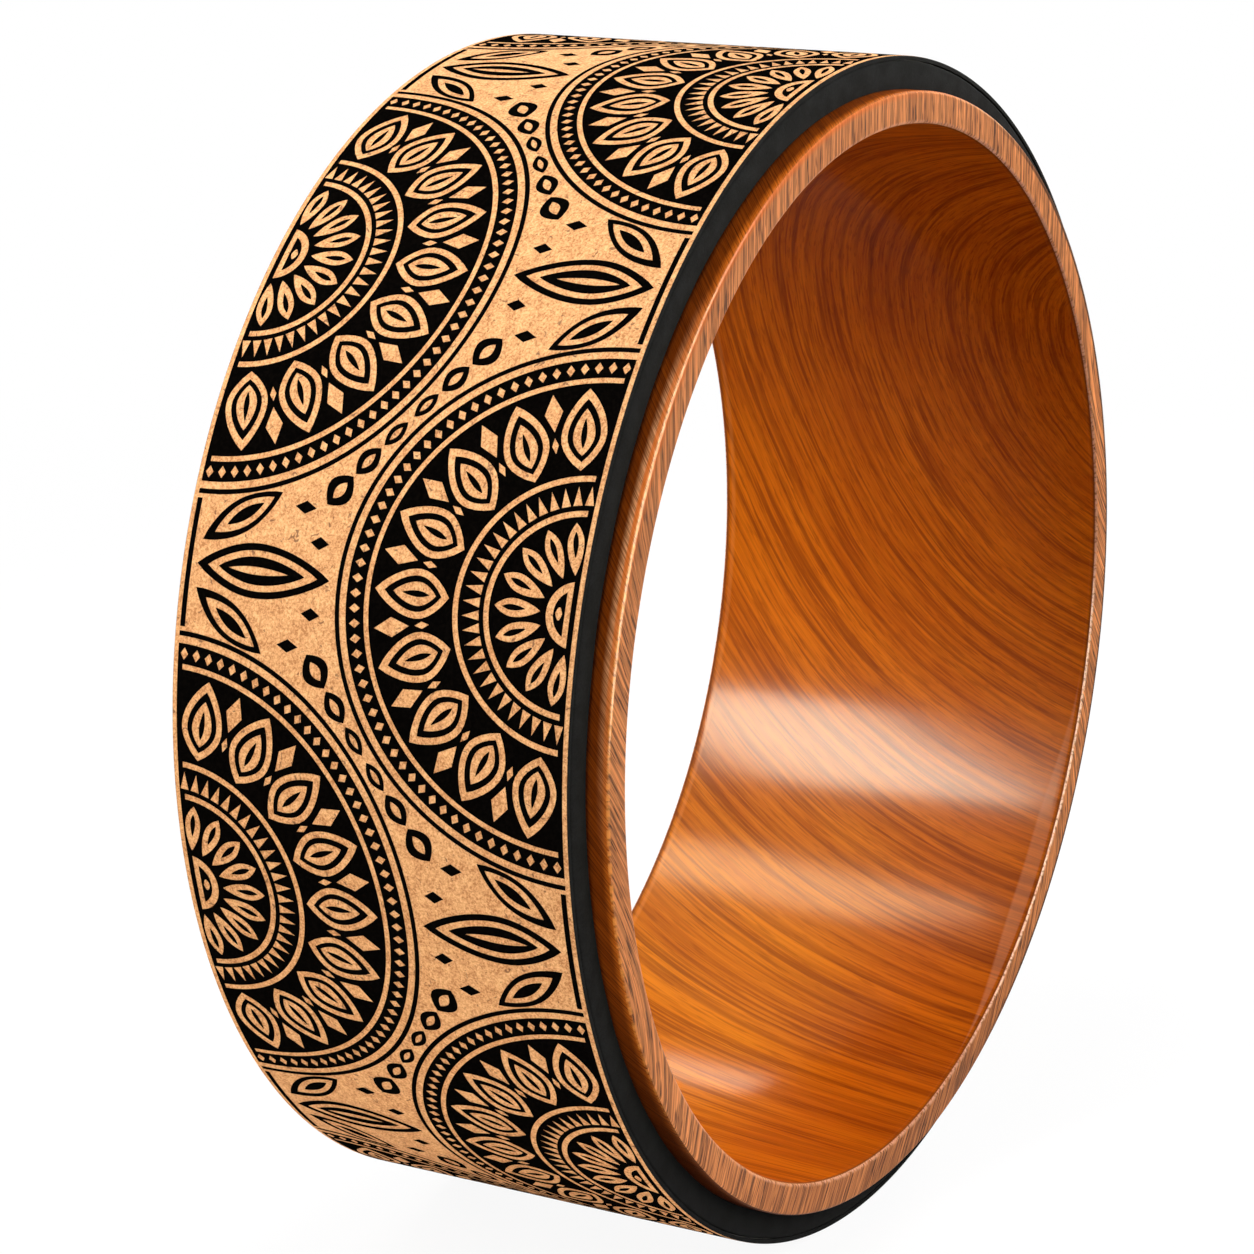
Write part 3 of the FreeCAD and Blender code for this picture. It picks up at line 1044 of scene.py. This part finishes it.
def makePrint():
    radius = wheel["treadRadius"]
    seam = wheel["seamGap"] / 2 / radius
    spots, corners, index = [], [], {}
    motifs = [(fillLoops("fan", fanLoops()), 1.0), (fillLoops("palmette", palmetteLoops()), -1.0)]
    for number, ((points, faces), stands) in enumerate(motifs):
        for copy in range(2 * band["repeats"]):
            hand = 1.0 if copy % 2 == 0 else -1.0
            shift = copy * repeat / 2 + band["phase"] * strip
            for face in faces:
                middle = sum(points[i][0] for i in face) / len(face) + shift
                turns = math.floor(middle / around)
                corner = []
                for i in face:
                    key = (number, copy, i, turns)
                    if key not in index:
                        run = points[i][0] + shift - turns * around
                        across = hand * stands * (band["half"] - points[i][1])
                        angle = seam + run / around * (fullTurn - 2 * seam)
                        x, z = math.cos(angle) * radius, math.sin(angle) * radius
                        index[key] = len(spots)
                        spots.append((x * mm, across * mm, z * mm))
                    corner.append(index[key])
                corners.append(corner)
    data = bpy.data.meshes.new("tread_print")
    data.from_pydata(spots, [], corners)
    sheet = bmesh.new()
    sheet.from_mesh(data)
    for face in sheet.faces:
        face.normal_update()
        middle = face.calc_center_median()
        if face.normal.x * middle.x + face.normal.z * middle.z < 0:
            face.normal_flip()
        face.smooth = True
    sheet.to_mesh(data)
    sheet.free()
    film = bpy.data.objects.new("tread_print", data)
    bpy.context.scene.collection.objects.link(film)
    data.materials.append(inkFinish)
    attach(film, "root")
    print("stage: print film", len(corners), "faces")


makePrint()


# stage, light and camera

studio = {
    "floorGap": 0.1,  # mm under the tread
    "floorSize": 14.0,  # m, half the side
    "floorTone": (0.12, 0.12, 0.12, 1.0),
    "cardTone": (0.9, 0.9, 0.9, 1.0),  # a pale card on the floor, beside the tread
    "cardLength": (-0.9, -0.7, -0.06, 0.0),  # m
    "cardWidth": (0.14, 0.22),
    "floorSeen": (0.92, 0.92, 0.92, 1.0),
    "floorGlow": (0.93, 1.0),  # near the wheel and far from it
    "floorFade": (0.25, 1.3),  # m
    "skyTone": (1.0, 1.0, 1.0, 1.0),
    "skyFill": 0.08,
    "shineTone": (1.0, 0.95, 0.75),
    "warmTone": (1.0, 0.8, 0.48),
}


def seenRays(tree):  # 1 where the camera looks, and where a shiny or clear surface does
    rays = put(tree, "ShaderNodeLightPath").outputs
    mirrored = calc(tree, "MAXIMUM", rays["Is Glossy Ray"], rays["Is Transmission Ray"])
    return calc(tree, "MAXIMUM", rays["Is Camera Ray"], mirrored)


def makeFloor():
    data = bpy.data.meshes.new("studioFloor")
    size, drop = studio["floorSize"], -(wheel["treadRadius"] + studio["floorGap"]) * mm
    corners = [(-size, -size, drop), (size, -size, drop), (size, size, drop), (-size, size, drop)]
    data.from_pydata(corners, [], [(0, 1, 2, 3)])
    floor = bpy.data.objects.new("studioFloor", data)
    bpy.context.scene.collection.objects.link(floor)
    paper = bpy.data.materials.new("floorPaper")
    paper.use_nodes = True
    tree = paper.node_tree
    tree.nodes.clear()
    seen = seenRays(tree)
    spot = put(tree, "ShaderNodeTexCoord").outputs["Object"]
    x, y, _ = put(tree, "ShaderNodeSeparateXYZ", {0: spot}).outputs
    aside = spread(tree, calc(tree, "ABSOLUTE", y), *studio["cardWidth"], 1.0, 0.0)
    card = times(tree, between(tree, x, *studio["cardLength"]), aside)
    tone = blendColour(tree, card, studio["floorTone"], studio["cardTone"])
    tone = blendColour(tree, seen, tone, studio["floorSeen"])
    matte = put(tree, "ShaderNodeBsdfDiffuse", {"Color": tone}).outputs[0]
    glow = put(tree, "ShaderNodeEmission", {"Color": studio["skyTone"], "Strength": 1.0}).outputs[0]
    away = put(tree, "ShaderNodeVectorMath", {0: spot}, operation="LENGTH").outputs["Value"]
    share = times(tree, seen, spread(tree, away, *studio["floorFade"], *studio["floorGlow"]))
    mix = put(tree, "ShaderNodeMixShader", {0: share, 1: matte, 2: glow})
    put(tree, "ShaderNodeOutputMaterial", {"Surface": mix.outputs[0]})
    data.materials.append(paper)


def makeSky():
    sky = bpy.data.worlds.new("studioSky")
    bpy.context.scene.world = sky
    sky.use_nodes = True
    tree = sky.node_tree
    tree.nodes.clear()
    strength = calc(tree, "MULTIPLY_ADD", seenRays(tree), 1.0 - studio["skyFill"], studio["skyFill"])
    glow = put(tree, "ShaderNodeBackground", {"Color": studio["skyTone"], "Strength": strength})
    put(tree, "ShaderNodeOutputWorld", {"Surface": glow.outputs[0]})


lamps = {
    # place and size in m, power in W, use: light on the wheel, or a white or warm shine in the lacquer
    "keyPanel": ((-0.88, 0.6, 0.74), (0.45, 0.4), 6.0, "light"),
    "topPanel": ((-0.36, 0.6, 1.1), (0.9, 0.6), 11.0, "light"),
    "crownPanel": ((-0.45, 0.0, 1.15), (0.12, 0.7), 4.0, "light"),
    "lowPanel": ((-1.6, 0.0, -0.02), (0.2, 0.25), 7.0, "light"),
    "backPanel": ((-1.2, 1.2, 0.5), (1.0, 1.0), 3.0, "light"),
    "frontPanel": ((0.35, -1.0, 0.9), (0.9, 0.7), 8.0, "light"),
    "frontSide": ((1.0, -1.05, 0.45), (0.6, 0.5), 15.0, "light"),
    "rightPanel": ((1.25, 0.0, 0.45), (0.12, 0.4), 9.0, "light"),
    "boreStrip": ((-0.785, 0.582, 0.66), (0.195, 0.36), 46.0, "shine"),
    "lowStrip": ((-0.23, 0.59, 1.02), (0.2, 0.24), 17.0, "warm"),
    "veilStrip": ((0.25, 0.59, 0.95), (1.0, 0.24), 4.5, "warm"),
    "footStrip": ((0.87, 0.59, 0.66), (0.16, 0.16), 3.6, "shine"),
    "rimStrip": ((-0.17, -0.95, 0.25), (1.5, 1.2), 200.0, "shine"),
    "sideStrip": ((1.25, 0.0, 0.45), (0.5, 0.6), 5.0, "shine"),
}


def makeLamps():
    for name, (place, size, power, use) in lamps.items():
        light = bpy.data.lights.new(name, "AREA")
        light.shape = "RECTANGLE"
        light.size, light.size_y = size
        light.energy = power
        if use != "light":
            light.color = studio[use + "Tone"]
        lamp = bpy.data.objects.new(name, light)
        lamp.location = place
        lamp.rotation_euler = (-Vector(place)).to_track_quat("-Z", "Y").to_euler()
        lamp.visible_camera = False
        lamp.visible_diffuse = use == "light"
        lamp.visible_glossy = use != "light"
        bpy.context.scene.collection.objects.link(lamp)


shot = {  # from the rim and pad edges of the photograph
    "focalPixels": 3852.6,
    "framePixels": 1254,
    "azimuth": -60.41,
    "elevation": 14.52,
    "aside": 15.997,  # the wheel's middle in the camera's own axes, mm
    "below": 0.449,
    "away": 1098.572,
    "sensor": 36.0,
}


def makeCamera():
    turn, lift = math.radians(shot["azimuth"]), math.radians(shot["elevation"])
    right = Vector((math.cos(turn), math.sin(turn), 0.0))
    back = Vector((math.sin(turn) * math.cos(lift), -math.cos(turn) * math.cos(lift), math.sin(lift)))
    up = back.cross(right)
    place = (-right * shot["aside"] + up * shot["below"] + back * shot["away"]) * mm
    lens = bpy.data.cameras.new("shotCamera")
    lens.sensor_width = shot["sensor"]
    lens.lens = shot["sensor"] * shot["focalPixels"] / shot["framePixels"]
    camera = bpy.data.objects.new("shotCamera", lens)
    camera.matrix_world = Matrix.Translation(place) @ Matrix((right, up, back)).transposed().to_4x4()
    bpy.context.scene.collection.objects.link(camera)
    bpy.context.scene.camera = camera


makeFloor()
makeSky()
makeLamps()
makeCamera()
bpy.context.scene.view_settings.view_transform = "Standard"
print("stage: studio set")
